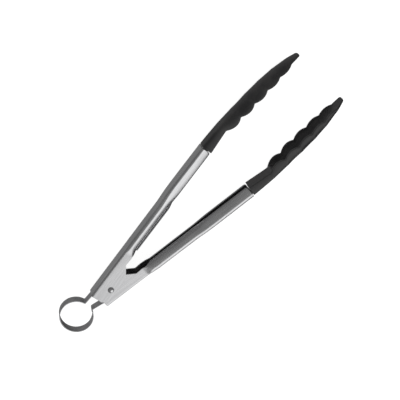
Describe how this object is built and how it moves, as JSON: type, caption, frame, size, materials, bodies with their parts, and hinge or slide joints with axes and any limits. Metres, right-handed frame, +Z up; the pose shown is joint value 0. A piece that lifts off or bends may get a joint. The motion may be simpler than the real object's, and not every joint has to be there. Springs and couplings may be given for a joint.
{
  "type": "spring loaded kitchen tongs",
  "caption": "Spring-loaded kitchen tongs: two riveted steel channel arms, a strip spring that ends in a hanging loop, and hollow nylon heads with scalloped gripping edges.",
  "frame": {"origin": "middle of the bounding box, on the surface that the tongs lie on", "axes": "+X from the hanging loop to the tips, +Y towards the outer arm, +Z up along the rivet"},
  "size_m": [0.2958, 0.0682, 0.0208],
  "materials": {
    "inner_arm_steel": "brushed lengthwise",
    "outer_arm_steel": "brushed lengthwise",
    "rivet_steel": "polished dome",
    "tube_steel": "plain drawn",
    "spring_steel": "rolled satin",
    "nylon": "fine moulded matt"
  },
  "bodies": {
    "inner_half": {"inner_arm": "inner_arm_steel", "pivot_rivet": "rivet_steel", "spacer_tube": "tube_steel", "ring_spring": "spring_steel", "inner_head": "nylon"},
    "outer_half": {"outer_arm": "outer_arm_steel", "outer_head": "nylon"}
  },
  "joints": [
    {"name": "squeeze", "type": "hinge", "parent": "inner_half", "child": "outer_half", "pos_m": [-0.09662, 0, 0.0104], "axis": [0, 0, -1], "range_deg": [0, 12.2], "stiffness_Nm_per_rad": 1.6, "springref_deg": -12.61, "deforming": ["ring_spring"]}
  ]
}
